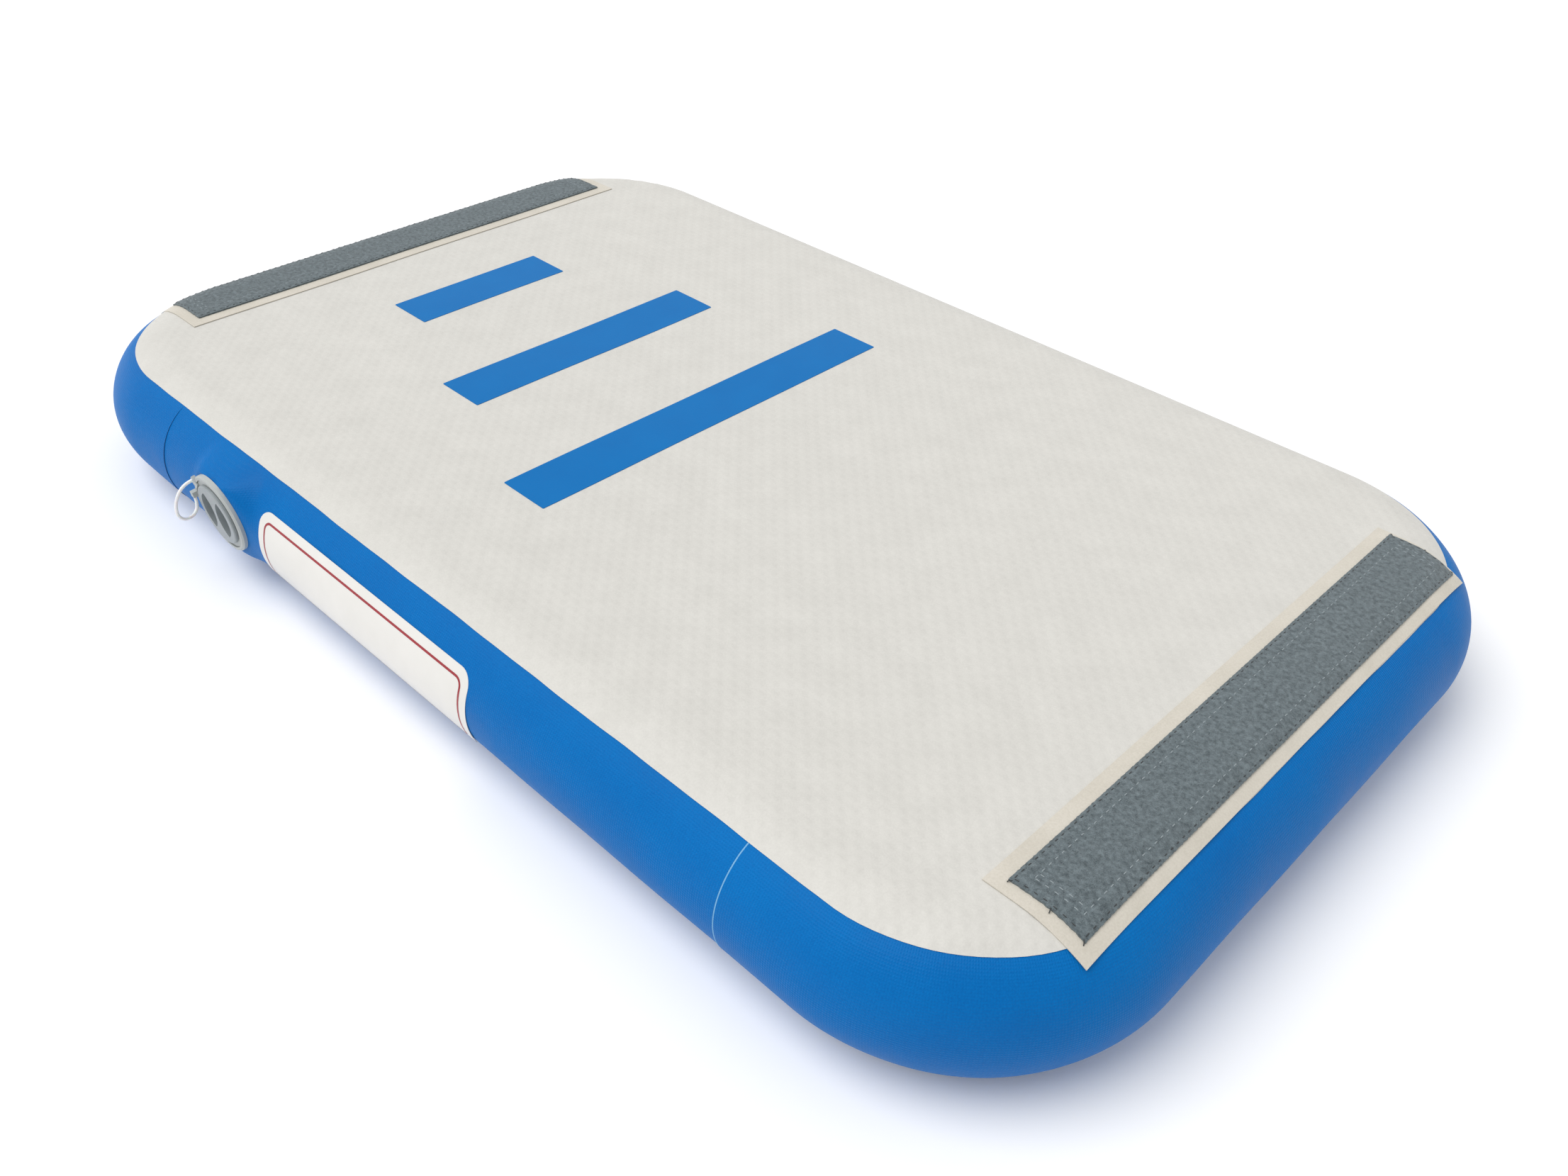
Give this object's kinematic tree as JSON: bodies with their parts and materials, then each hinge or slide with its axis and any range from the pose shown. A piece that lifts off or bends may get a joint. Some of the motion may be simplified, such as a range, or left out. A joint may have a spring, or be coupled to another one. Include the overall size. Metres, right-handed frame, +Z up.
{
  "type": "air track mat",
  "caption": "Small inflatable drop-stitch gymnastics mat with a round rim, hook-and-loop end strips and a sprung air valve with a screw cap.",
  "frame": {"origin": "centre of the flat face that the mat rests on", "axes": "+X along the mat towards the end without stripes, +Y away from the valve side, +Z up"},
  "size_m": [0.97, 0.6254, 0.1025],
  "materials": {
    "top_fabric": "PVC-coated polyester, embossed matt",
    "base_fabric": "PVC-coated polyester, embossed matt",
    "side_fabric": "PVC-coated polyester, satin",
    "tape_fabric": "PVC-coated tape",
    "yarn": "polyester yarn",
    "stripe_film": "PVC film",
    "patch_fabric": "PVC sheet",
    "loop_pile": "woven nylon loop pile",
    "sewing_thread": "polyester sewing thread",
    "label_film": "plain film",
    "valve_plastic": "moulded nylon",
    "cap_plastic": "moulded nylon",
    "stem_plastic": "moulded acetal",
    "seal_rubber": "silicone rubber",
    "spring_steel": "stainless spring wire",
    "cord_white": "flexible plastic cord"
  },
  "bodies": {
    "root": {"top_sheet": "top_fabric", "bottom_sheet": "base_fabric", "valve_side_panel": "side_fabric", "plain_side_panel": "side_fabric", "near_end_panel": "side_fabric", "far_end_panel": "side_fabric", "top_seam_tape": "tape_fabric", "bottom_seam_tape": "tape_fabric", "wall_joint_tapes": "tape_fabric", "drop_yarns": "yarn", "stripe_short": "stripe_film", "stripe_mid": "stripe_film", "stripe_long": "stripe_film", "near_patch": "patch_fabric", "far_patch": "patch_fabric", "near_loop_strip": "loop_pile", "far_loop_strip": "loop_pile", "near_stitching": "sewing_thread", "far_stitching": "sewing_thread", "side_label": "label_film", "valve_body": "valve_plastic", "valve_patch": "side_fabric", "valve_gasket": "seal_rubber", "valve_nut": "valve_plastic", "valve_spring": "spring_steel"},
    "plunger": {"valve_stem": "stem_plastic", "sealing_disc": "seal_rubber", "stem_keeper": "stem_plastic"},
    "cap_carrier": {"tether_ring": "cap_plastic", "cap_tether": "cord_white"},
    "cap": {"valve_cap": "cap_plastic", "cap_seal": "seal_rubber"}
  },
  "joints": [
    {"name": "plunger_push", "type": "slide", "parent": "root", "child": "plunger", "axis": [0, 0.9945, 0.1045], "range_m": [0, 0.0045], "stiffness_N_per_m": 500, "springref_m": -0.004, "deforming": ["valve_spring"]},
    {"name": "cap_lift", "type": "slide", "parent": "root", "child": "cap_carrier", "axis": [0, -0.9945, -0.1045], "range_m": [0, 0.012]},
    {"name": "cap_turn", "type": "hinge", "parent": "cap_carrier", "child": "cap", "pos_m": [-0.206, -0.3012, 0.056], "axis": [0, -0.9945, -0.1045], "range_deg": [0, 540]}
  ],
  "couplings": [
    {"joint": "cap_lift", "follows": "cap_turn", "m_per_rad": 0.0012732}
  ]
}
